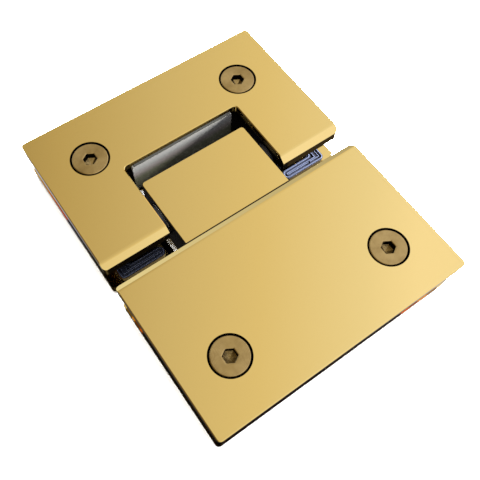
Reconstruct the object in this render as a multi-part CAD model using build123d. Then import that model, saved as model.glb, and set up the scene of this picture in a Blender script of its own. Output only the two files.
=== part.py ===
from build123d import *
import os
from math import sqrt

# Glass door hinge: a U-shaped fixed leaf and a rectangular door leaf, each a pair of bright plates that
# clamp a pane between soft gaskets. A knuckle on the door leaf turns on a pin held across the U.
# Millimetres. The hinge lies on its back plates: X runs along the pin, Y from the door leaf to the
# fixed leaf, Z through the thickness. The origin is under the middle of the outline.

# ---- Leaves
plate_width = 90.0            # along the pin, both leaves
plate_thickness = 5.0
pane_space = 8.0              # between the inner faces of a pair of plates
fixed_front_length = 52.75    # from the far edge to the ear ends
ear_back_reach = 1.4          # back ears reach further than the front ones
door_front_length = 53.0
door_back_short = 0.95        # back plate shorter than the front one
leaf_gap = 6.15               # between the two front plates
corner_radius = 1.3           # plate corners, seen from the front
edge_break = 0.25             # small chamfer round each polished face
bevel_run = 2.4               # long bevels that face the gap between the leaves
bevel_drop = 1.8

# ---- Cut-out of the U and the knuckle in it
cutout_width = 44.0
cutout_web = 25.75            # plate left behind the cut-out
cutout_corner = 1.5
side_clearance = 2.0          # knuckle to cut-out, each side
axis_setback = 9.0            # from the front ear ends to the pin's axis
knuckle_drop = 2.1            # knuckle under the outer faces of the plates
knuckle_skin = 1.5            # metal over its bushes
knuckle_nose = 11.0           # from the axis to the free end
nose_corner = 1.2
shoulder_clearance = 0.35     # knuckle shoulder to the door's front plate

# ---- Steel cores inside the leaves
core_seat = 0.8               # how deep a core sits in each plate
core_side_margin = 9.0        # core to the sides of its plates
core_edge_margin = 10.5       # core to the far edge of its plates
core_face_proud = 0.45        # fixed core stands out of the cut-out's end wall
core_end_setback = 0.8        # door core behind the edge of the door's plates
pocket_clearance = 0.15
arm_clearance = 0.3           # carrier arm to the side of the cut-out
arm_width = 8.7
arm_front = 5.9               # arm ahead of the axis
lug_skin = 2.6                # plate left over the lugs

# ---- Pin and bearings
pin_radius = 4.0
pin_end_setback = 0.5         # pin inside the outer face of the lugs
pin_chamfer = 0.5
detent_flat = 3.35            # axis to each flat
bush_length = 8.0             # the pin is squared between the bushes
running_clearance = 0.05
bore_relief = 0.4             # knuckle bore past the pin, between the bushes
washer_lip = 0.2              # washer past the bush
washer_clearance = 0.15       # each side
pin_lock_radius = 1.5
pin_lock_setback = 0.1

# ---- Detent plungers, springs and adjusting screws
plunger_spacing = 14.0
plunger_radius = 2.45
plunger_clearance = 0.05
plunger_length = 8.0
spring_length = 11.0
spring_wire = 0.7
spring_coil_radius = 1.7
spring_turns = 6
spigot_radius = 1.2
spigot_length = 2.0
adjuster_length = 5.0
adjuster_socket = 2.5

# ---- Plate screws
screw_radius = 2.95
screw_hole_radius = 3.2
screw_head_radius = 5.8
screw_recess_radius = 6.45
screw_recess_depth = 0.55
screw_sink = 0.05             # head under the face
screw_socket = 4.0
screw_socket_depth = 2.4
screw_tip_height = 1.8        # above the outer face of the back plate
thread_skin = 1.2             # metal left under the threaded holes
boss_radius = 5.0
boss_height = 2.5
boss_clearance = 0.15
fit_clearance = 0.05
fixed_screw_side = 16.0       # from the side of the plates
fixed_screw_inset = 17.1      # from the far edge
door_screw_side = 15.8
door_screw_inset = 17.3

# ---- Core screws, hidden under the front plates
core_screw_step = 10.8        # inwards of the plate screw
core_screw_radius = 1.95
core_screw_head_radius = 3.7
core_screw_socket = 2.5
fixed_core_screw_inset = 18.0
door_core_screw_inset = 30.0

# ---- Gaskets
gasket_thickness = 1.0
gasket_margin = 4.0           # inside the sides and far edge of the plates
gasket_end_margin = 0.4       # inside the edge that faces the gap
gasket_core_clearance = 0.6
gasket_corner = 1.6
most_rounding = 0.45          # of the width of a pad, at each corner
gasket_pad_inset = 2.4        # ear pad from the side of the cut-out
groove_offset = 0.8
groove_width = 0.6
groove_depth = 0.35
pip_radius = 0.5
pip_sink = 0.2                # centre under the face of its pad
pip_side = 5.4                # from the side of its pad
pip_inset = 1.5
strip_half_width = 19.5       # soft strip on the end wall of the cut-out
strip_thickness = 0.9
strip_top_below_face = 1.0
strip_corner = 1.0

# ---- Places that follow
total_length = fixed_front_length + leaf_gap + door_front_length
thickness = 2 * plate_thickness + pane_space
mid = thickness / 2
half_width = plate_width / 2
core_half_width = half_width - core_side_margin
far_fixed = total_length / 2
far_door = -total_length / 2
ear_front = far_fixed - fixed_front_length
ear_back = ear_front - ear_back_reach
door_front = far_door + door_front_length
door_back = door_front - door_back_short
cutout_end = far_fixed - cutout_web
cutout_half = cutout_width / 2
axis_y = ear_front + axis_setback
knuckle_half = cutout_half - side_clearance
detent_half_length = knuckle_half - bush_length
knuckle_end = axis_y + knuckle_nose
shoulder = door_front + shoulder_clearance
core_bottom = plate_thickness - core_seat
core_top = thickness - core_bottom
knuckle_low = knuckle_drop
knuckle_high = thickness - knuckle_drop
bush_outer_radius = mid - knuckle_low - knuckle_skin
washer_radius = bush_outer_radius + washer_lip
lug_radius = mid - pocket_clearance - lug_skin
core_face = cutout_end - core_face_proud
arm_in = cutout_half + arm_clearance
arm_out = arm_in + arm_width
gasket_leg = core_side_margin - gasket_margin - gasket_core_clearance
back_inner = plate_thickness
front_inner = thickness - plate_thickness
lug_x = (arm_in + arm_out) / 2
plunger_x = plunger_spacing / 2
plunger_tip_y = axis_y - pin_radius - running_clearance
spring_rear_y = plunger_tip_y - plunger_length - spring_length
fixed_screw_x = half_width - fixed_screw_side
door_screw_x = half_width - door_screw_side
fixed_core_screw_x = fixed_screw_x - core_screw_step
door_core_screw_x = door_screw_x - core_screw_step
pip_x = half_width - gasket_margin - pip_side
fixed_screw_y = far_fixed - fixed_screw_inset
fixed_core_screw_y = far_fixed - fixed_core_screw_inset
door_core_screw_y = far_door + door_core_screw_inset
door_screw_y = far_door + door_screw_inset
overcut = 1.0                 # how far cutting tools run past a face


def block(x0, x1, y0, y1, z0, z1):
    """A box between two corners."""
    return Pos((x0 + x1) / 2, (y0 + y1) / 2, (z0 + z1) / 2) * Box(x1 - x0, y1 - y0, z1 - z0)


def x_rod(radius, x0, x1, y, z):
    """A round bar along X."""
    return Pos((x0 + x1) / 2, y, z) * Rot(0, 90, 0) * Cylinder(radius, x1 - x0)


def y_rod(radius, y0, y1, x, z):
    """A round bar along Y."""
    return Pos(x, (y0 + y1) / 2, z) * Rot(90, 0, 0) * Cylinder(radius, y1 - y0)


def z_rod(radius, z0, z1, x, y):
    """A round bar along Z."""
    return Pos(x, y, (z0 + z1) / 2) * Cylinder(radius, z1 - z0)


def z_cone(lower_radius, upper_radius, z0, z1, x, y):
    """A round taper along Z."""
    return Pos(x, y, (z0 + z1) / 2) * Cone(lower_radius, upper_radius, z1 - z0)


def hexagon(across_flats, depth):
    """A hexagonal prism that sinks from the origin along -Z."""
    return Pos(0, 0, -depth) * extrude(RegularPolygon(across_flats / sqrt(3), 6, rotation=30), depth)


def rounded_block(x0, x1, y0, y1, z0, z1, radius):
    """A box with its four upright edges rounded."""
    body = block(x0, x1, y0, y1, z0, z1)
    return fillet(body.edges().filter_by(Axis.Z), radius)


def gap_bevel(y_edge, inward, z_face, into):
    """The prism that takes the long bevel off a plate edge facing the gap between the leaves."""
    lean_y = inward * bevel_run
    lean_z = into * bevel_drop
    points = [
        (y_edge + 2 * lean_y, z_face - lean_z),
        (y_edge - lean_y, z_face + 2 * lean_z),
        (y_edge - lean_y, z_face - lean_z),
    ]
    outline = Plane.YZ * make_face(Polyline(*points, close=True))
    return Pos(-plate_width, 0, 0) * extrude(outline, 2 * plate_width, dir=(1, 0, 0))


def break_face(body, z_face):
    """The small chamfer round a polished outer face and its openings."""
    face = body.faces().filter_by(Axis.Z).filter_by(lambda f: abs(f.center().Z - z_face) < edge_break)
    outline = face.edges().filter_by(lambda e: e.geom_type == GeomType.LINE)
    return chamfer(outline, edge_break)


# ---- Cores: the steel blocks between the plates

def fixed_core_body(grow):
    """Crossbar, arms and pin lugs of the fixed core, grown all round by a clearance."""
    low = core_bottom - grow
    high = core_top + grow
    rear = far_fixed - core_edge_margin + grow
    body = block(-core_half_width - grow, core_half_width + grow, core_face - grow, rear, low, high)
    for side in (-1, 1):
        x0, x1 = sorted((side * (arm_in - grow), side * (arm_out + grow)))
        body += block(x0, x1, axis_y - arm_front - grow, core_face + overcut, low, high)
        body += x_rod(lug_radius + grow, x0, x1, axis_y, mid)
    return body


def door_core_body(grow):
    """Base and neck of the door core, grown all round by a clearance."""
    low = core_bottom - grow
    high = core_top + grow
    rear = far_door + core_edge_margin - grow
    front = door_back - core_end_setback + grow
    body = block(-core_half_width - grow, core_half_width + grow, rear, front, low, high)
    return body + block(-knuckle_half - grow, knuckle_half + grow, rear, shoulder + overcut, low, high)


def core_screw_tool(x, y):
    """Countersunk clearance hole for a core screw."""
    head = core_screw_head_radius - core_screw_radius
    tool = z_cone(core_screw_radius + fit_clearance, core_screw_head_radius + fit_clearance,
                  core_top - head, core_top, x, y)
    return tool + z_rod(core_screw_radius + fit_clearance, 0, core_top, x, y)


def plate_screw_hole(x, y):
    """Stepped recess, countersink and clearance hole for a plate screw, sunk from the front face."""
    step = thickness - screw_recess_depth
    depth = screw_recess_radius - screw_hole_radius
    tool = z_rod(screw_recess_radius, step, thickness + overcut, x, y)
    tool += z_cone(screw_hole_radius, screw_recess_radius, step - depth, step, x, y)
    return tool + z_rod(screw_hole_radius, 0, thickness, x, y)


def core_passage(x, y):
    """A plate screw's hole through a core, opened out below for the boss."""
    boss_top = back_inner + boss_height + boss_clearance
    return plate_screw_hole(x, y) + z_rod(boss_radius + boss_clearance, 0, boss_top, x, y)


def make_fixed_core():
    core = fixed_core_body(0)
    core -= x_rod(pin_radius + fit_clearance, -half_width, half_width, axis_y, mid)
    for side in (-1, 1):
        core -= core_passage(side * fixed_screw_x, fixed_screw_y)
        core -= core_screw_tool(side * fixed_core_screw_x, fixed_core_screw_y)
        core -= y_rod(pin_lock_radius + fit_clearance, ear_front, axis_y, side * lug_x, mid)
    return core


def make_knuckle():
    core = door_core_body(0)
    tongue = block(-knuckle_half, knuckle_half, shoulder, knuckle_end, knuckle_low, knuckle_high)
    nose = tongue.edges().filter_by(Axis.Z).group_by(Axis.Y)[-1]
    tongue = fillet(nose, nose_corner)
    tongue = chamfer(tongue.faces().sort_by(Axis.Z)[-1].edges(), edge_break)
    tongue = chamfer(tongue.faces().sort_by(Axis.Z)[0].edges(), edge_break)
    core += tongue
    core -= x_rod(pin_radius + bore_relief, -knuckle_half, knuckle_half, axis_y, mid)
    rear = far_door + core_edge_margin
    for side in (-1, 1):
        x0, x1 = sorted((side * detent_half_length, side * (knuckle_half + overcut)))
        core -= x_rod(bush_outer_radius + fit_clearance, x0, x1, axis_y, mid)
        core -= y_rod(plunger_radius + plunger_clearance, rear - overcut, axis_y, side * plunger_x, mid)
        core -= core_passage(side * door_screw_x, door_screw_y)
        core -= core_screw_tool(side * door_core_screw_x, door_core_screw_y)
    return core


# ---- Plates

def u_outline(ear_end, z0, z1):
    """The U of a fixed plate, with its corners rounded."""
    body = rounded_block(-half_width, half_width, ear_end, far_fixed, z0, z1, corner_radius)
    mouth = block(-cutout_half, cutout_half, ear_end - overcut, cutout_end - 2 * cutout_corner, z0, z1)
    inner = rounded_block(-cutout_half, cutout_half, cutout_end - 4 * cutout_corner, cutout_end,
                          z0, z1, cutout_corner)
    return body - mouth - inner


def back_plate_details(plate, screw_x, screw_y, core_screw_x, core_screw_y):
    """Adds the bosses of a back plate, then its blind threaded holes."""
    boss_top = back_inner + boss_height
    for side in (-1, 1):
        plate += z_rod(boss_radius, thread_skin, boss_top, side * screw_x, screw_y)
    for side in (-1, 1):
        plate -= z_rod(screw_radius + fit_clearance, thread_skin, boss_top + overcut,
                       side * screw_x, screw_y)
        plate -= z_rod(core_screw_radius + fit_clearance, thread_skin, back_inner,
                       side * core_screw_x, core_screw_y)
    return plate


def make_fixed_front_plate():
    plate = u_outline(ear_front, front_inner, thickness) - gap_bevel(ear_front, 1, thickness, -1)
    plate = break_face(plate, thickness) - fixed_core_body(pocket_clearance)
    for side in (-1, 1):
        plate -= plate_screw_hole(side * fixed_screw_x, fixed_screw_y)
    return plate


def make_fixed_back_plate():
    plate = u_outline(ear_back, 0, back_inner) - gap_bevel(ear_back, 1, 0, 1)
    plate = break_face(plate, 0) - fixed_core_body(pocket_clearance)
    return back_plate_details(plate, fixed_screw_x, fixed_screw_y, fixed_core_screw_x, fixed_core_screw_y)


def make_door_front_plate():
    plate = rounded_block(-half_width, half_width, far_door, door_front,
                          front_inner, thickness, corner_radius)
    plate -= gap_bevel(door_front, -1, thickness, -1)
    plate = break_face(plate, thickness) - door_core_body(pocket_clearance)
    for side in (-1, 1):
        plate -= plate_screw_hole(side * door_screw_x, door_screw_y)
    return plate


def make_door_back_plate():
    plate = rounded_block(-half_width, half_width, far_door, door_back, 0, back_inner, corner_radius)
    plate -= gap_bevel(door_back, -1, 0, 1)
    plate = break_face(plate, 0) - door_core_body(pocket_clearance)
    return back_plate_details(plate, door_screw_x, door_screw_y, door_core_screw_x, door_core_screw_y)


# ---- Gaskets

def round_corners(area, widths, shrink):
    """Rounds the upright edges of an area that was drawn in by a margin, within what is left of its parts."""
    left = min(width - 2 * shrink for width in widths if width > 2 * shrink)
    concentric = min(gasket_corner, most_rounding * min(widths)) - shrink
    radius = min(max(concentric, groove_width / 4), most_rounding * left)
    return fillet(area.edges().filter_by(Axis.Z), radius)


def fixed_gasket_area(ear_end, shrink, z0, z1):
    """The U of a fixed gasket with an ear pad at each end, drawn in by a margin all round."""
    x_out = half_width - gasket_margin - shrink
    pad_front = ear_end + gasket_end_margin
    pad_rear = axis_y - arm_front - gasket_core_clearance
    area = block(-x_out, x_out, pad_front + shrink, far_fixed - gasket_margin - shrink, z0, z1)
    hold = core_half_width + gasket_core_clearance + shrink
    area -= block(-hold, hold, pad_rear - shrink,
                  far_fixed - core_edge_margin + gasket_core_clearance + shrink, z0, z1)
    mouth = cutout_half + gasket_pad_inset + shrink
    area -= block(-mouth, mouth, ear_end - overcut, axis_y, z0, z1)
    return round_corners(area, (gasket_leg, pad_rear - pad_front), shrink)


def door_gasket_area(edge, shrink, z0, z1):
    """The U of a door gasket round the door core, drawn in by a margin all round."""
    x_out = half_width - gasket_margin - shrink
    area = block(-x_out, x_out, far_door + gasket_margin + shrink,
                 edge - gasket_end_margin - shrink, z0, z1)
    hold = core_half_width + gasket_core_clearance + shrink
    area -= block(-hold, hold, far_door + core_edge_margin - gasket_core_clearance - shrink,
                  edge + overcut, z0, z1)
    return round_corners(area, (gasket_leg,), shrink)


def make_gasket(area, edge, plate_face, toward_pane):
    """A soft pad on a plate's inner face, with a groove inside its rim."""
    pane_face = plate_face + toward_pane * gasket_thickness
    floor = pane_face - toward_pane * groove_depth
    pad = area(edge, 0, *sorted((plate_face, pane_face)))
    cut_ends = sorted((floor, pane_face + toward_pane * overcut))
    ring = area(edge, groove_offset, *cut_ends) - area(edge, groove_offset + groove_width, *cut_ends)
    return pad - ring


def pip(x, y, face):
    """A small locating bump that straddles a gasket's pane face."""
    return Pos(x, y, face) * Sphere(pip_radius)


def make_fixed_gasket(ear_end, plate_face, toward_pane):
    pad = make_gasket(fixed_gasket_area, ear_end, plate_face, toward_pane)
    pip_z = plate_face + toward_pane * (gasket_thickness - pip_sink)
    for side in (-1, 1):
        pad += pip(side * pip_x, ear_end + gasket_end_margin + pip_inset, pip_z)
    return pad


def make_cutout_strip():
    strip = block(-strip_half_width, strip_half_width, core_face - strip_thickness, core_face,
                  core_bottom, thickness - strip_top_below_face)
    top = strip.edges().filter_by(Axis.Y).group_by(Axis.Z)[-1]
    return fillet(top, strip_corner)


# ---- Pin, bushes, washers and locks

def make_pivot_pin():
    reach = arm_out - pin_end_setback
    pin = x_rod(pin_radius, -reach, reach, axis_y, mid)
    pin = chamfer(pin.edges().filter_by(GeomType.CIRCLE), pin_chamfer)
    waist = block(-detent_half_length, detent_half_length, axis_y - detent_flat, axis_y + detent_flat,
                  mid - detent_flat, mid + detent_flat)
    sleeve = x_rod(pin_radius + overcut, -detent_half_length, detent_half_length, axis_y, mid)
    return pin - (sleeve - waist)


def make_bush(side):
    x0, x1 = sorted((side * detent_half_length, side * knuckle_half))
    bush = x_rod(bush_outer_radius, x0, x1, axis_y, mid)
    return bush - x_rod(pin_radius + running_clearance, x0, x1, axis_y, mid)


def make_thrust_washer(side):
    x0, x1 = sorted((side * (knuckle_half + washer_clearance), side * (cutout_half - running_clearance)))
    washer = x_rod(washer_radius, x0, x1, axis_y, mid)
    return washer - x_rod(pin_radius + washer_clearance, x0, x1, axis_y, mid)


def make_pin_lock(side):
    y0 = axis_y - arm_front + pin_lock_setback
    y1 = axis_y - pin_radius
    lock = y_rod(pin_lock_radius, y0, y1, side * lug_x, mid)
    socket = Pos(side * lug_x, y0, mid) * Rot(90, 0, 0) * hexagon(pin_lock_radius, pin_lock_radius / 2)
    return lock - socket


# ---- Detent: plungers, springs and adjusting screws

def make_plunger(side):
    rear = plunger_tip_y - plunger_length
    plunger = y_rod(plunger_radius, rear, plunger_tip_y, side * plunger_x, mid)
    return plunger + y_rod(spigot_radius, rear - spigot_length, rear, side * plunger_x, mid)


def make_spring(side):
    path = Helix(spring_length / spring_turns, spring_length - spring_wire, spring_coil_radius)
    section = Plane(origin=path @ 0, z_dir=path % 0) * Circle(spring_wire / 2)
    coil = sweep(section, path=path)
    seat = spring_rear_y + spring_wire / 2
    return Pos(side * plunger_x, seat, mid) * Rot(-90, 0, 0) * coil


def make_adjuster(side):
    rear = spring_rear_y - adjuster_length
    screw = y_rod(plunger_radius, rear, spring_rear_y, side * plunger_x, mid)
    socket = Pos(side * plunger_x, rear, mid) * Rot(90, 0, 0) * hexagon(adjuster_socket, adjuster_length / 2)
    return screw - socket


# ---- Screws

def make_plate_screw(x, y):
    """Countersunk screw with a hexagon socket, its head seated in the stepped recess."""
    top = thickness - screw_sink
    rim = screw_recess_depth + screw_recess_radius - screw_head_radius
    cone_top = thickness - rim + fit_clearance
    cone_height = screw_head_radius - screw_radius
    screw = z_rod(screw_head_radius, cone_top, top, x, y)
    screw = chamfer(screw.edges().group_by(Axis.Z)[-1], edge_break)
    screw += z_cone(screw_radius, screw_head_radius, cone_top - cone_height, cone_top, x, y)
    screw += z_rod(screw_radius, screw_tip_height, cone_top - cone_height, x, y)
    socket = Pos(x, y, top) * hexagon(screw_socket, screw_socket_depth)
    floor = top - screw_socket_depth
    drill_point = z_cone(0, screw_socket / 2, floor - screw_socket / 4, floor, x, y)
    return screw - socket - drill_point


def make_core_screw(x, y):
    """Small countersunk screw that fastens a core to its back plate."""
    head = core_screw_head_radius - core_screw_radius
    screw = z_cone(core_screw_radius, core_screw_head_radius, core_top - head, core_top, x, y)
    screw += z_rod(core_screw_radius, screw_tip_height, core_top - head, x, y)
    return screw - Pos(x, y, core_top) * hexagon(core_screw_socket, core_screw_socket)


def main():
    os.makedirs("parts", exist_ok=True)
    nodes = {
        "fixed_front_plate": make_fixed_front_plate(),
        "fixed_back_plate": make_fixed_back_plate(),
        "fixed_core": make_fixed_core(),
        "fixed_front_gasket": make_fixed_gasket(ear_front, front_inner, -1),
        "fixed_back_gasket": make_fixed_gasket(ear_back, back_inner, 1),
        "cutout_strip": make_cutout_strip(),
        "door_front_plate": make_door_front_plate(),
        "door_back_plate": make_door_back_plate(),
        "knuckle": make_knuckle(),
        "door_front_gasket": make_gasket(door_gasket_area, door_front, front_inner, -1),
        "door_back_gasket": make_gasket(door_gasket_area, door_back, back_inner, 1),
        "pivot_pin": make_pivot_pin(),
    }
    for name, side in (("left", -1), ("right", 1)):
        nodes[f"fixed_screw_{name}"] = make_plate_screw(side * fixed_screw_x, fixed_screw_y)
        nodes[f"door_screw_{name}"] = make_plate_screw(side * door_screw_x, door_screw_y)
        nodes[f"fixed_core_screw_{name}"] = make_core_screw(side * fixed_core_screw_x, fixed_core_screw_y)
        nodes[f"door_core_screw_{name}"] = make_core_screw(side * door_core_screw_x, door_core_screw_y)
        nodes[f"pin_lock_{name}"] = make_pin_lock(side)
        nodes[f"bush_{name}"] = make_bush(side)
        nodes[f"thrust_washer_{name}"] = make_thrust_washer(side)
        nodes[f"detent_plunger_{name}"] = make_plunger(side)
        nodes[f"detent_spring_{name}"] = make_spring(side)
        nodes[f"detent_adjuster_{name}"] = make_adjuster(side)
    for name, solid in nodes.items():
        solid.label = name
        export_step(solid, f"parts/{name}.step")


main()
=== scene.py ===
# %% [markdown]
# # A polished gold hinge for a glass door
# The hinge clamps two panes: a U-shaped leaf holds the fixed one, a plain leaf holds the door, and a
# tongue between them turns on a hidden pin. Its exact solids come ready made as a frame of named nodes.
# This lesson dresses them: it gives each finish its material, and it makes the turned screws and the
# beads of the soft pads, which need more shape than a plain solid has.

# %% Load the solids
import bpy
import numpy as np
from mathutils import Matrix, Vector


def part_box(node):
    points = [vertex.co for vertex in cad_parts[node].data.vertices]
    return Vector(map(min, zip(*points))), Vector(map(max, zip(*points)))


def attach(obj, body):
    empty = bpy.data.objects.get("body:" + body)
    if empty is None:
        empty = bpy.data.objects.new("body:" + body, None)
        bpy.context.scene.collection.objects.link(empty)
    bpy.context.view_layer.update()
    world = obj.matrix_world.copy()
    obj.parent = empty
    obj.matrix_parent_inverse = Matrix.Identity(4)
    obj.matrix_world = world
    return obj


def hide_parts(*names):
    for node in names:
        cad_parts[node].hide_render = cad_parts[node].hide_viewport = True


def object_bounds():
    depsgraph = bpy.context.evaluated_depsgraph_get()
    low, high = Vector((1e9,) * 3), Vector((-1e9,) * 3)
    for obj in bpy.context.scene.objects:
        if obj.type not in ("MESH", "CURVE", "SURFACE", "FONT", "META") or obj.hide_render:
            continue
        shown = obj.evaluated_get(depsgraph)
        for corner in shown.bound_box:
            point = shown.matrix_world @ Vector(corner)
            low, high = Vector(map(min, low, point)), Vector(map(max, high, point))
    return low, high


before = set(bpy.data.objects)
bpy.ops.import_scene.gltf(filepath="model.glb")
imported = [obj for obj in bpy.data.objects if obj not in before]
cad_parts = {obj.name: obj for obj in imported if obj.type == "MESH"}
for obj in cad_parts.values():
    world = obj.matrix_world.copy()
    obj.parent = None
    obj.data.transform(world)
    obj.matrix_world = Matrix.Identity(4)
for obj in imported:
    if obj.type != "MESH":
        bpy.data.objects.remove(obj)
cad_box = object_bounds()
MM = 0.001
low, high = (np.array(corner) / MM for corner in cad_box)
print("solids:", len(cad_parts), "size in mm:", np.round(high - low, 2))

# %% [markdown]
# ## Numbers and nodes
# Colours are picked as sRGB hex values, the way a colour card gives them, but a shader works with linear
# light. One function turns the one into the other. One more adds a shader node with its settings and its
# links, so that a material reads as a list of what it is made of.

# %% Colour and node helpers
def linear(hex_colour):
    """sRGB hex to linear RGBA: below 0.04045 divide by 12.92, above it ((c + 0.055) / 1.055) ** 2.4."""
    srgb = np.array([int(hex_colour[i:i + 2], 16) for i in (1, 3, 5)]) / 255
    light = np.where(srgb <= 0.04045, srgb / 12.92, ((srgb + 0.055) / 1.055) ** 2.4)
    return (*light.tolist(), 1.0)


def add_node(tree, kind, inputs=None, **settings):
    """Adds a node, sets its properties, then fills each input with a value or a link."""
    node = tree.nodes.new(kind)
    for key, value in settings.items():
        setattr(node, key, value)
    for key, value in (inputs or {}).items():
        if isinstance(value, bpy.types.NodeSocket):
            tree.links.new(value, node.inputs[key])
        else:
            node.inputs[key].default_value = value
    return node


def new_finish(name, colour, **values):
    """A material with one Principled shader. Returns the material, its tree and the shader."""
    material = bpy.data.materials.new(name)
    material.use_nodes = True
    tree = material.node_tree
    shader = tree.nodes["Principled BSDF"]
    shader.inputs["Base Color"].default_value = linear(colour)
    for key, value in values.items():
        shader.inputs[key.replace("_", " ")].default_value = value
    return material, tree, shader


def place(tree):
    """Where a point of the surface is on the hinge, in metres."""
    return add_node(tree, "ShaderNodeTexCoord").outputs["Object"]


def combine(tree, first, second, operation="MULTIPLY"):
    """One number from two: their product, unless another operation is named."""
    return add_node(tree, "ShaderNodeMath", {0: first, 1: second}, operation=operation).outputs[0]


print("olive gold in linear light:", np.round(linear("#B89952")[:3], 3))

# %% [markdown]
# ## The camera
# The hinge lies on its back plates and is seen from above its near left side. The place and the turns
# of the camera are given in the hinge's own frame, and the lens is a short tele on a 36 mm sensor.

# %% Camera
camera_place = (-53.64, -62.54, 158.63)    # mm
camera_turn = (21.95, -0.96, -34.82)       # degrees about X, Y and Z
camera_data = bpy.data.cameras.new("camera")
camera_data.sensor_width = 36.0
camera_data.lens = 39.06
camera_data.shift_x = 0.0513
camera_data.shift_y = 0.0781
camera = bpy.data.objects.new("camera", camera_data)
camera.location = np.array(camera_place) * MM
camera.rotation_euler = np.radians(camera_turn)
camera_data.clip_start = 0.01
bpy.context.scene.collection.objects.link(camera)
bpy.context.scene.camera = camera
bpy.context.scene.view_settings.view_transform = "Standard"
print("camera", camera_place, "lens", camera_data.lens)

# %% [markdown]
# ## Room and light
# A mirror has no colour of its own but its tint, so what shows on the plates is the room. A single broad
# glow that is brighter on the right gives them their even run from olive to pale gold. The room is a
# world shader: the direction of a ray, measured along the line from dark side to bright side, picks a
# colour from a ramp. Low on the far side a second broad glow fades from left to right, and the bevels
# pick it up. Straight below, the room is dark, as over a dark bench that gets lighter outwards, and that
# makes the upright edges deep brown. The camera sees a plain pale ground, and the floor is left out of
# the reflections.

# %% World
bright_side = (0.821, -0.571, 0.0)
room_strength = 1.4
world = bpy.data.worlds.new("studio")
world.use_nodes = True
bpy.context.scene.world = world
room = world.node_tree
room.nodes.clear()

def colour_ramp(tree, value, start, end, stops):
    """A ramp from start to end whose stops are given in the value's own numbers."""
    share = add_node(tree, "ShaderNodeMapRange", {"Value": value, "From Min": start, "From Max": end})
    node = add_node(tree, "ShaderNodeValToRGB", {"Fac": share.outputs["Result"]})
    ramp = node.color_ramp.elements
    for number, (at, colour) in enumerate(stops.items()):
        position = (at - start) / (end - start)
        stop = ramp[number] if number < 2 else ramp.new(position)
        stop.position = position
        stop.color = linear(colour)
    return node.outputs["Color"]


def fade(tree, value, start, end):
    """0 at start and 1 at end, with soft ends. End may be the smaller one."""
    return add_node(tree, "ShaderNodeMapRange", {"Value": value, "From Min": start, "From Max": end},
                    interpolation_type="SMOOTHSTEP").outputs["Result"]


def blend_colours(tree, share, first, second):
    """First where the share is 0, second where it is 1."""
    return add_node(tree, "ShaderNodeMix", {"Factor": share, "A": first, "B": second},
                    data_type="RGBA").outputs["Result"]


def blend_numbers(tree, share, first, second):
    """The same for plain numbers: inputs 2 and 3 are a Mix node's A and B for numbers."""
    return add_node(tree, "ShaderNodeMix", {0: share, 2: first, 3: second}).outputs[0]


def dot(tree, vector, other):
    """Dot product: how far one vector reaches along the other, times the other's length."""
    return add_node(tree, "ShaderNodeVectorMath", {0: vector, 1: other},
                    operation="DOT_PRODUCT").outputs["Value"]


direction = add_node(room, "ShaderNodeTexCoord").outputs["Generated"]
way = add_node(room, "ShaderNodeSeparateXYZ", {0: direction}).outputs
glow_stops = {
    -1.0: "#5A4E3A", -0.55: "#6B614B", -0.27: "#A39D92", -0.08: "#B5B3B3",
    0.1: "#C3C1C0", 0.29: "#CFD3E6", 0.38: "#DADEF8", 1.0: "#DADEF8"}
glow = colour_ramp(room, dot(room, direction, bright_side), -1.0, 1.0, glow_stops)

far_stops = {-1.0: "#CCD7F4", 0.0: "#CCD7F4", 0.6: "#9A9DAC", 1.0: "#9A9DAC"}
far_side = colour_ramp(room, way["X"], -1.0, 1.0, far_stops)
is_far = combine(room, fade(room, way["Y"], 0.55, 0.75), fade(room, way["Z"], 0.68, 0.5))
upper = blend_colours(room, is_far, glow, far_side)

bench_way = (1.0, 1.0, 0.0)
bench_stops = {
    -1.3: "#B5B1A6", -0.8: "#8E897D", -0.55: "#2A2723", -0.4: "#0A0908", -0.3: "#080706", -0.05: "#100E0C",
    0.05: "#292623", 0.2: "#302D2A", 0.31: "#434039", 0.4: "#5F5D57", 0.46: "#80818E", 0.53: "#9595A4"}
bench = colour_ramp(room, dot(room, direction, bench_way), -1.4, 0.6, bench_stops)
mixed = blend_colours(room, fade(room, way["Z"], -0.5, -0.02), bench, upper)
seen = add_node(room, "ShaderNodeLightPath").outputs["Is Camera Ray"]
plain = blend_colours(room, seen, mixed, linear("#F7F7F5"))
strength = blend_numbers(room, seen, room_strength, 1.0)
background = add_node(room, "ShaderNodeBackground", {"Color": plain, "Strength": strength})
add_node(room, "ShaderNodeOutputWorld", {"Surface": background.outputs["Background"]})
print("stops of the glow:", len(glow_stops), "of the far side:", len(far_stops),
      "of the bench:", len(bench_stops))

# %% [markdown]
# Two square lamps light what isn't a mirror. A broad one hangs overhead and makes the floor white. A
# small, strong one stands low on the right: it shines along the gap between the leaves, so the right
# pad is bright and the left pad lies in the tongue's shadow. Neither shows in the mirrors.

# %% Soft boxes and floor
def soft_box(name, where, size, power):
    """A square area light that faces the middle of the hinge. Sizes and place in mm, power in watts."""
    data = bpy.data.lights.new(name, "AREA")
    data.shape = "SQUARE"
    data.size = size * MM
    data.energy = power
    lamp = bpy.data.objects.new(name, data)
    lamp.location = np.array(where) * MM
    lamp.rotation_euler = lamp.location.to_track_quat("Z", "Y").to_euler()
    lamp.visible_glossy = False
    lamp.visible_camera = False
    bpy.context.scene.collection.objects.link(lamp)
    return lamp


overhead = soft_box("overhead_box", (100, -50, 900), 900, 22)
low_right = soft_box("low_right_box", (520, 5, 120), 120, 185)

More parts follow.
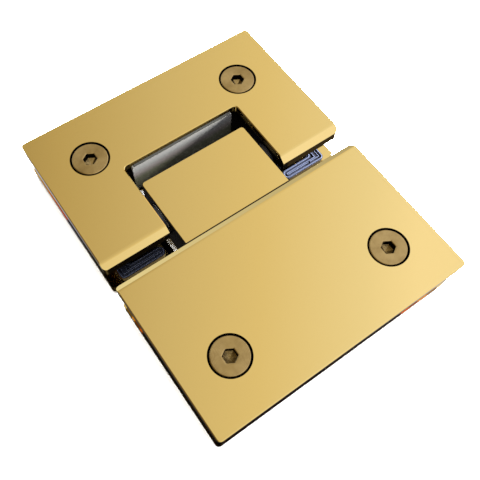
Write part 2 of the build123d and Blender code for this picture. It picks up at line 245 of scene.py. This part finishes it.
floor_half = 4.0
floor_mesh = bpy.data.meshes.new("floor")
corners = [(-floor_half, -floor_half, 0), (floor_half, -floor_half, 0),
           (floor_half, floor_half, 0), (-floor_half, floor_half, 0)]
floor_mesh.from_pydata(corners, [], [(0, 1, 2, 3)])
floor = bpy.data.objects.new("floor", floor_mesh)
bpy.context.scene.collection.objects.link(floor)
paper, _, _ = new_finish("white_paper", "#F5F5F3", Roughness=0.9)
floor_mesh.materials.append(paper)
floor.visible_glossy = False
print("soft boxes:", overhead.name, low_right.name)

# %% [markdown]
# ## Gold plates
# The plates are brass, polished to a mirror and coated with a hard gold film in a vacuum. The film is
# only a few microns thick, so it keeps the polish: a metal shader of low roughness, tinted gold. No hand
# polish is flat, so a very shallow bump of waves about 14 mm long lets the reflections swim a little,
# and the roughness wanders between two near values where the buffing wheel pressed harder. Hand polish
# also rolls a bevel over towards the face. The solid's bevel is flat, so the material leans its shading
# normal upwards there. The rings round the screw heads and the walls of the slots beside the tongue
# get painted shade: there the colour is made near black and the roughness 0.5.

# %% Mirror gold
face_height = high[2]
bevel_drop = 1.8                           # mm
roll_depth = 0.5                           # mm under the face where the lean starts to grow
least_lean, most_lean = 0.85, 5.0          # how much straight up is added to a bevel's normal


def rolled_over(tree):
    """Normal of a bevel = (its own + lean * straight up), made one long. The lean grows towards the face."""
    own = add_node(tree, "ShaderNodeTexCoord").outputs["Normal"]
    level = add_node(tree, "ShaderNodeSeparateXYZ", {0: place(tree)}).outputs["Z"]
    parts = add_node(tree, "ShaderNodeSeparateXYZ", {0: own}).outputs
    sideways = add_node(tree, "ShaderNodeMath", {0: parts["X"]}, operation="ABSOLUTE").outputs[0]
    foot = face_height - bevel_drop
    on_bevel = fade(tree, level, (foot - 0.05) * MM, (foot + 0.05) * MM)
    on_bevel = combine(tree, on_bevel, fade(tree, parts["Z"], 0.3, 0.4))
    on_bevel = combine(tree, on_bevel, fade(tree, sideways, 0.4, 0.2))
    lean = add_node(tree, "ShaderNodeMapRange", {
        "Value": level, "From Min": (face_height - roll_depth) * MM, "From Max": face_height * MM,
        "To Min": least_lean, "To Max": most_lean}).outputs["Result"]
    up = add_node(tree, "ShaderNodeCombineXYZ", {"Z": combine(tree, lean, on_bevel)}).outputs[0]
    leaning = add_node(tree, "ShaderNodeVectorMath", {0: own, 1: up}, operation="ADD").outputs[0]
    leaning = add_node(tree, "ShaderNodeVectorMath", {0: leaning}, operation="NORMALIZE").outputs[0]
    return add_node(tree, "ShaderNodeVectorTransform", {"Vector": leaning}, vector_type="NORMAL",
                    convert_from="OBJECT", convert_to="WORLD").outputs[0]


def polish(tree, shader, roughest, smoothest, wave_mm, wave_height_mm):
    """Roughness that wanders between two values, and a shallow long wave. Returns the object's place."""
    where = place(tree)
    buffing = add_node(tree, "ShaderNodeTexNoise", {"Vector": where, "Scale": 1 / (9 * MM), "Detail": 3.0})
    spread = add_node(tree, "ShaderNodeMapRange", {"Value": buffing.outputs["Fac"], "From Min": 0.3,
                      "From Max": 0.7, "To Min": smoothest, "To Max": roughest})
    tree.links.new(spread.outputs["Result"], shader.inputs["Roughness"])
    waves = add_node(tree, "ShaderNodeTexNoise", {
        "Vector": where, "Scale": 1 / (wave_mm * MM), "Detail": 1.0})
    bump = add_node(tree, "ShaderNodeBump", {"Height": waves.outputs["Fac"], "Strength": 1.0,
                    "Distance": wave_height_mm * MM, "Normal": rolled_over(tree)})
    tree.links.new(bump.outputs["Normal"], shader.inputs["Normal"])
    return where


gold_tint = "#FAD881"
mirror_gold, tree, shader = new_finish("vacuum_coated_mirror_gold", gold_tint, Metallic=1.0)
polish(tree, shader, 0.06, 0.035, 14, 0.012)


def within(tree, value, low_outer, low_inner, high_inner, high_outer):
    """1 between the inner ends and 0 beyond the outer ones, all in mm."""
    return combine(tree, fade(tree, value, low_outer * MM, low_inner * MM),
                   fade(tree, value, high_outer * MM, high_inner * MM))


def recess_shade_mask(tree):
    """Where shade is painted: 1 in the ring round each screw head and on the walls of the slots beside the
    tongue, 0 elsewhere.
    """
    at = add_node(tree, "ShaderNodeSeparateXYZ", {0: place(tree)}).outputs
    across = add_node(tree, "ShaderNodeMath", {0: at["X"]}, operation="ABSOLUTE").outputs[0]
    flat = add_node(tree, "ShaderNodeCombineXYZ", {"X": across, "Y": at["Y"]}).outputs[0]
    rings = []
    for node in ("fixed_screw_right", "door_screw_right"):
        middle = np.mean(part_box(node), axis=0)
        away = add_node(tree, "ShaderNodeVectorMath", {0: flat, 1: (middle[0], middle[1], 0.0)},
                        operation="DISTANCE").outputs["Value"]
        rings.append(fade(tree, away, 6.65 * MM, 6.5 * MM))
    ring = combine(tree, *rings, "MAXIMUM")
    ring = combine(tree, ring, within(tree, at["Z"], face_height - 2.0, face_height - 1.6,
                                      face_height - 0.14, face_height - 0.06))
    slot = combine(tree, fade(tree, across, 24.3 * MM, 24.1 * MM),
                   within(tree, at["Z"], 0.2, 0.5, 15.2, 16.4))
    slot = combine(tree, slot, within(tree, at["Y"], 1.0, 1.5, 30.4, 30.8))
    return combine(tree, ring, slot, "MAXIMUM")


painted_recess_shade = recess_shade_mask(tree)
# Painted shade: near black and rougher in the screw rings and on the slot walls.
tree.links.new(blend_colours(tree, painted_recess_shade, linear(gold_tint), linear("#0B0806")), shader.inputs["Base Color"])
buffed = shader.inputs["Roughness"].links[0].from_socket
tree.links.new(blend_numbers(tree, painted_recess_shade, buffed, 0.5), shader.inputs["Roughness"])
print("gold tint, linear:", np.round(linear(gold_tint)[:3], 3))

# %% [markdown]
# ## The tongue
# The tongue is cut from a steel bar. Its two broad faces are polished and coated like the plates, and its
# sides are left as milled, a satin grey. The part that goes on inside the door leaf is darker, with
# a film of oil. Height and length tell the three apart, so masks on the object's own place do it. The
# fixed core is the same oiled steel. The pin, the plungers and their springs are ground smooth and
# bright, and the hidden set screws and core screws are blackened, a dull near black.

# %% Tongue and core steel
tongue_low, tongue_high = (np.array(corner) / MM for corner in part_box("knuckle"))
hidden_from = -2.6                         # mm, behind this the tongue is inside the door leaf


def band(tree, value, start, end):
    """0 at start and 1 at end, in a straight line between. Both are in mm."""
    return add_node(tree, "ShaderNodeMapRange", {"Value": value, "From Min": start * MM,
                    "From Max": end * MM}).outputs["Result"]


def milled(tree, where, pitch_mm, height_mm):
    """Fine cutter marks: waves of one pitch along the part, broken up by noise."""
    marks = add_node(tree, "ShaderNodeTexWave", {"Vector": where, "Scale": 0.314 / (pitch_mm * MM),
                     "Distortion": 1.5, "Detail": 2.0, "Detail Scale": 2.0}, bands_direction="Y")
    return add_node(tree, "ShaderNodeBump", {"Height": marks.outputs["Fac"], "Strength": 0.6,
                    "Distance": height_mm * MM}).outputs["Normal"]


def grain(tree, shader, size_mm, height_mm, detail=2.0):
    """Noise of one size as a shallow bump."""
    noise = add_node(tree, "ShaderNodeTexNoise", {
        "Vector": place(tree), "Scale": 1 / (size_mm * MM), "Detail": detail})
    bump = add_node(tree, "ShaderNodeBump", {"Height": noise.outputs["Fac"], "Distance": height_mm * MM})
    tree.links.new(bump.outputs["Normal"], shader.inputs["Normal"])


tongue_gold, tree, shader = new_finish("tongue_gold_and_milled_steel", gold_tint, Metallic=1.0)
where = polish(tree, shader, 0.06, 0.035, 14, 0.012)
axes = add_node(tree, "ShaderNodeSeparateXYZ", {0: where}).outputs
top = band(tree, axes["Z"], tongue_high[2] - 0.05, tongue_high[2] - 0.01)
bottom = band(tree, axes["Z"], tongue_low[2] + 0.05, tongue_low[2] + 0.01)
outside = band(tree, axes["Y"], hidden_from - 0.1, hidden_from)
coated = combine(tree, combine(tree, top, bottom, "MAXIMUM"), outside)
bare = blend_colours(tree, outside, linear("#2E2B28"), linear("#4A4946"))
tree.links.new(blend_colours(tree, coated, bare, linear(gold_tint)), shader.inputs["Base Color"])
buffed = shader.inputs["Roughness"].links[0].from_socket
tree.links.new(blend_numbers(tree, coated, 0.42, buffed), shader.inputs["Roughness"])

core_steel, tree, shader = new_finish("oiled_milled_steel", "#2E2B28", Metallic=1.0, Roughness=0.45)
tree.links.new(milled(tree, place(tree), 0.5, 0.01), shader.inputs["Normal"])
ground_steel, tree, shader = new_finish("ground_steel", "#A9A9AB", Metallic=1.0, Roughness=0.22)
tree.links.new(milled(tree, place(tree), 0.3, 0.003), shader.inputs["Normal"])
black_steel, tree, shader = new_finish("black_oxide_steel", "#1B1B1C", Metallic=1.0, Roughness=0.4)
grain(tree, shader, 0.3, 0.01)
print("tongue from", np.round(tongue_low, 2), "to", np.round(tongue_high, 2))

# %% [markdown]
# ## Plastics
# The pads are soft smoke-tinted PVC with a cool cast, near black where no light falls along them. Their
# beads get a paler colour, a painted highlight along each bead. The strip in the cut-out is grey rubber
# with painted shade: darker towards its foot and lighter up its face, with a thin painted highlight just
# under its upper edge and a near black top. The washers are black acetal, and the bushes are an ivory
# bearing plastic. All but the beads have a shallow grain, which breaks up a highlight.

# %% Soft plastics
smoke_pvc, tree, shader = new_finish("soft_smoke_pvc", "#15171F", Roughness=0.22, IOR=1.53)
grain(tree, shader, 2.5, 0.003, detail=1.0)
# The beads' paler colour is a painted highlight along each bead.
bead_pvc_painted_highlight, _, _ = new_finish("bead_smoke_pvc_painted_highlight", "#282C38", Roughness=0.2, IOR=1.53)

grey_rubber, tree, shader = new_finish("grey_rubber", "#5F5E53", Roughness=0.62)
strip_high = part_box("cutout_strip")[1][2] / MM
level = add_node(tree, "ShaderNodeSeparateXYZ", {0: place(tree)}).outputs["Z"]
# Painted shade and highlight by height: darker towards the foot, a light line 0.12 mm under the upper edge,
# near black at the top.
strip_shade_stops = {8.0: "#38382C", 6.75: "#3A3A2E", 4.5: "#504B48", 2.25: "#565653", 0.9: "#5F5E5B",
               0.3: "#5A5A56", 0.12: "#74736C", 0.04: "#141412"}         # mm under its upper edge
strip_painted_shade = colour_ramp(tree, level, (strip_high - 8.0) * MM, strip_high * MM,
                      {(strip_high - under) * MM: colour for under, colour in strip_shade_stops.items()})
tree.links.new(strip_painted_shade, shader.inputs["Base Color"])
grain(tree, shader, 0.35, 0.02, detail=3.0)

black_acetal, tree, shader = new_finish("black_acetal", "#101011", Roughness=0.38)
grain(tree, shader, 0.2, 0.01)
ivory_plastic, tree, shader = new_finish("ivory_bearing_plastic", "#DAD6C6", Roughness=0.45)
grain(tree, shader, 0.2, 0.01)
print("strip shaded down from", round(strip_high, 2), "mm in", len(strip_shade_stops), "stops")

# %% Give each solid its finish
finishes = {
    "fixed_front_plate": mirror_gold, "fixed_back_plate": mirror_gold,
    "door_front_plate": mirror_gold, "door_back_plate": mirror_gold,
    "knuckle": tongue_gold, "fixed_core": core_steel, "pivot_pin": ground_steel,
    "fixed_front_gasket": smoke_pvc, "fixed_back_gasket": smoke_pvc,
    "door_front_gasket": smoke_pvc, "door_back_gasket": smoke_pvc, "cutout_strip": grey_rubber,
}
paired = {"pin_lock": black_steel, "detent_adjuster": black_steel, "fixed_core_screw": black_steel,
          "door_core_screw": black_steel, "detent_plunger": ground_steel, "detent_spring": ground_steel,
          "thrust_washer": black_acetal, "bush": ivory_plastic}
for stem, material in paired.items():
    for side in ("left", "right"):
        finishes[f"{stem}_{side}"] = material
for node, material in finishes.items():
    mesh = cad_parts[node].data
    mesh.materials.clear()
    mesh.materials.append(material)
print("finishes given:", len(finishes))

# %% [markdown]
# ## Surfaces from arrays
# A new piece is a grid of points, worked out as one array. Its rows are rings or steps along a path and
# its columns go round the section. The helper joins neighbours into four-sided faces, closes the
# columns, and either closes the rows too or caps both ends.

# %% Grid to mesh
def grid_piece(name, points, material, rows_closed, uv=None):
    """A mesh from points[row, column, xyz] in mm, with columns closed and rows closed or capped."""
    rows, columns = points.shape[:2]
    at = np.arange(rows * columns).reshape(rows, columns)
    last = rows if rows_closed else rows - 1
    here, beyond = at[:last], np.roll(at, -1, axis=0)[:last]
    quads = np.stack([here, np.roll(here, -1, 1), np.roll(beyond, -1, 1), beyond], -1).reshape(-1, 4)
    faces = quads.tolist()
    if not rows_closed:
        faces += [at[0][::-1].tolist(), at[-1].tolist()]
    mesh = bpy.data.meshes.new(name)
    mesh.from_pydata((points.reshape(-1, 3) * MM).tolist(), [], faces)
    mesh.shade_smooth()
    if uv is not None:
        u, v = uv
        step = np.stack([u[:-1], u[1:], u[1:], u[:-1]], -1)[None].repeat(last, 0)
        rise = np.stack([v[:-1], v[:-1], v[1:], v[1:]], -1)[:, None].repeat(columns, 1)
        flat = np.zeros((len(mesh.loops), 2))
        flat[:quads.size] = np.stack([step, rise], -1).reshape(-1, 2)
        mesh.uv_layers.new(name="turning").data.foreach_set("uv", flat.ravel())
    mesh.materials.append(material)
    piece = bpy.data.objects.new(name, mesh)
    bpy.context.scene.collection.objects.link(piece)
    return piece


# %% [markdown]
# ## Turned screws
# Each plate screw is a countersunk M6 with a hexagon socket, turned and plated a dull bronze. The lathe
# leaves fine rings on the head, and they pull every highlight out into a bow tie. The screw is a surface
# of revolution with one twist: near the socket the section isn't a circle but a hexagon. Each ring mixes
# the two, so one formula runs from the drill point in the socket to the tip of the thread.

# %% Screw finish
ring_pitch = 0.4                           # mm; real rings are finer, these are as coarse as shows
bronze, tree, shader = new_finish("turned_bronze_plate", "#80663F", Metallic=1.0, Roughness=0.36,
                                  Anisotropic=0.65, Anisotropic_Rotation=0.25)
turning = add_node(tree, "ShaderNodeUVMap", uv_map="turning").outputs["UV"]
across = add_node(tree, "ShaderNodeSeparateXYZ", {0: turning}).outputs["Y"]
phase = combine(tree, across, 2 * np.pi / ring_pitch)
rings = add_node(tree, "ShaderNodeMath", {0: phase}, operation="SINE").outputs[0]
bump = add_node(tree, "ShaderNodeBump", {"Height": rings, "Strength": 1.0, "Distance": 0.008 * MM})
tangent = add_node(tree, "ShaderNodeTangent", direction_type="UV_MAP", uv_map="turning")
tree.links.new(bump.outputs["Normal"], shader.inputs["Normal"])
tree.links.new(tangent.outputs["Tangent"], shader.inputs["Tangent"])
blotch = add_node(tree, "ShaderNodeTexNoise", {"Vector": place(tree), "Scale": 1 / (2.5 * MM), "Detail": 4.0})
dulled = blend_colours(tree, blotch.outputs["Fac"], linear("#A0824A"), linear("#D8B873"))
wall_starts, wall_ends = (2.15, 2.25), (4.45, 4.35)   # mm along the section, from the socket's point
# Painted shade: the upright walls of the hexagon socket are made near black.
socket_painted_shade = combine(tree, fade(tree, across, *wall_starts), fade(tree, across, *wall_ends))
tree.links.new(blend_colours(tree, socket_painted_shade, dulled, linear("#120C06")), shader.inputs["Base Color"])
print("ring pitch of the screw heads:", ring_pitch, "mm")

# %% Screw shape
across_flats = 4.0                         # mm
head_radius = 5.8
shank_radius = 2.95
angles = np.linspace(0, 2 * np.pi, 97)[:-1]


def hexagon(half_flats):
    """Distance to a hexagon's side at each angle: half_flats / cos(angle from the nearest flat's middle)."""
    off_flat = (angles + np.pi / 6) % (np.pi / 3) - np.pi / 6
    return half_flats / np.cos(off_flat)


def screw_rings(tip_depth):
    """Rings of the screw from the socket's point to the tip: (share of hexagon, radius, depth), in mm."""
    flat = across_flats / 2
    mouth = flat + 0.2
    socket = [(1, 0.05, 3.4), (1, flat - 0.02, 2.42), (1, flat, 2.38), (1, flat, 0.2), (1, flat + 0.03, 0.13),
              (1, mouth, 0.0)]
    share = np.linspace(0, 1, 14)[1:]
    face = [(max(0, 1 - 2.2 * s), mouth + 3.28 * s, 0.0) for s in share]
    turn = np.radians(np.linspace(0, 90, 7)[1:])
    rim = [(0, head_radius - 0.3 + 0.3 * np.sin(t), 0.3 - 0.3 * np.cos(t)) for t in turn]
    cone_start = 1.15
    cone_end = cone_start + head_radius - shank_radius
    shank = [(0, head_radius, cone_start - 0.04), (0, head_radius - 0.04, cone_start),
             (0, shank_radius, cone_end), (0, shank_radius, tip_depth - 0.5),
             (0, shank_radius - 0.5, tip_depth)]
    return np.array(socket + face + rim + shank)


def turned_screw(node, body):
    """Ring radius = share * hexagon + (1 - share) * circle, at its own depth under the face."""
    low, high = (np.array(corner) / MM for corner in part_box(node))
    centre = (low + high) / 2
    share, radius, depth = screw_rings(high[2] - low[2]).T[:, :, None]
    reach = share * hexagon(1.0) * radius + (1 - share) * radius
    points = np.stack([centre[0] + reach * np.cos(angles), centre[1] + reach * np.sin(angles),
                       high[2] - depth + 0 * reach], -1)
    steps = np.hypot(*np.diff([radius, depth], axis=1))[:, 0]
    uv = (np.linspace(0, 1, len(angles) + 1), np.cumsum(np.r_[0, steps]))
    piece = grid_piece(f"turned_{node}", points, bronze, False, uv)
    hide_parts(node)
    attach(piece, body)
    return piece


for side in ("left", "right"):
    for stem, body in (("fixed_screw", "fixed_leaf"), ("door_screw", "door_leaf")):
        piece = turned_screw(f"{stem}_{side}", body)
        print(piece.name, len(piece.data.vertices), "points")

# %% [markdown]
# ## Beads of the pads
# A pad seals against the glass with thin beads: one just inside its edge and one further in. A bead is a
# round section carried along the pad's outline, drawn in by a margin. The outline has only square
# corners, so drawing it in moves each corner by the margin along both of its sides' normals. Then a
# quarter circle rounds each corner, also worked out for all corners at once.

# %% Paths of the beads
def drawn_in(corners, margin):
    """Each corner moves by margin * (normal of the side before + normal of the side after)."""
    side = np.roll(corners, -1, 0) - corners
    side = side / np.linalg.norm(side, axis=1, keepdims=True)
    inward = np.stack([-side[:, 1], side[:, 0]], 1)
    return corners + margin * (inward + np.roll(inward, 1, 0))


def rounded(corners, radius, steps=7):
    """Corner - r * way in + r * way out is the centre; the arc goes from -way out to +way in."""
    way_out = np.roll(corners, -1, 0) - corners
    way_out = way_out / np.linalg.norm(way_out, axis=1, keepdims=True)
    way_in = np.roll(way_out, 1, 0)
    centre = corners + radius * (way_out - way_in)
    turn = np.linspace(0, np.pi / 2, steps)[None, :, None]
    arc = centre[:, None] - radius * way_out[:, None] * np.cos(turn) + radius * way_in[:, None] * np.sin(turn)
    return arc.reshape(-1, 2)


def bead(name, path, level, radius, body):
    """Point = path + r * (cos a * inward normal + sin a * up), for a the whole way round the section."""
    ahead = np.roll(path, -1, 0) - np.roll(path, 1, 0)
    ahead = ahead / np.linalg.norm(ahead, axis=1, keepdims=True)
    inward = np.stack([-ahead[:, 1], ahead[:, 0]], 1)
    around = np.linspace(0, 2 * np.pi, 13)[:-1]
    flat = path[:, None] + radius * np.cos(around)[None, :, None] * inward[:, None]
    lift = np.broadcast_to(level + radius * np.sin(around), flat.shape[:2])
    piece = grid_piece(name, np.concatenate([flat, lift[..., None]], -1), bead_pvc_painted_highlight, True)
    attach(piece, body)
    return piece


# %% Outlines of the pads
core_edge = 36.6                           # mm from the middle, where the pads stop beside the cores
ear_pad_edge = 24.4                        # mm from the middle, where an ear's pad stops at the cut-out


def fixed_outline(node):
    """Corners of a fixed pad, anticlockwise: up the right side, round the U and back to the left ear."""
    low, high = (np.array(corner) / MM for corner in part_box(node))
    side, front, rear = high[0], low[1], high[1]
    ear_rear, bar_front = 5.7, 46.05
    return np.array([
        (-side, front), (-ear_pad_edge, front), (-ear_pad_edge, ear_rear), (-core_edge, ear_rear),
        (-core_edge, bar_front), (core_edge, bar_front), (core_edge, ear_rear), (ear_pad_edge, ear_rear),
        (ear_pad_edge, front), (side, front), (side, rear), (-side, rear)])


def door_outline(node):
    """Corners of a door pad, anticlockwise."""
    low, high = (np.array(corner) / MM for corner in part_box(node))
    side, front, rear = high[0], high[1], low[1]
    bar_front = -46.05
    return np.array([(-side, rear), (side, rear), (side, front), (core_edge, front),
                     (core_edge, bar_front), (-core_edge, bar_front), (-core_edge, front), (-side, front)])


pane_low, pane_high = 6.0, 12.0
beads = (("rim", 0.42, 1.15, 0.2), ("inner", 1.48, 0.22, 0.17))   # name, margin, rounding and radius in mm
for node, outline, level, body in (
        ("fixed_back_gasket", fixed_outline, pane_low, "fixed_leaf"),
        ("fixed_front_gasket", fixed_outline, pane_high, "fixed_leaf"),
        ("door_back_gasket", door_outline, pane_low, "door_leaf"),
        ("door_front_gasket", door_outline, pane_high, "door_leaf")):
    for name, margin, rounding, radius in beads:
        path = rounded(drawn_in(outline(node), margin), rounding)
        piece = bead(f"{node}_{name}_bead", path, level, radius, body)
        print(piece.name, len(piece.data.vertices), "points")
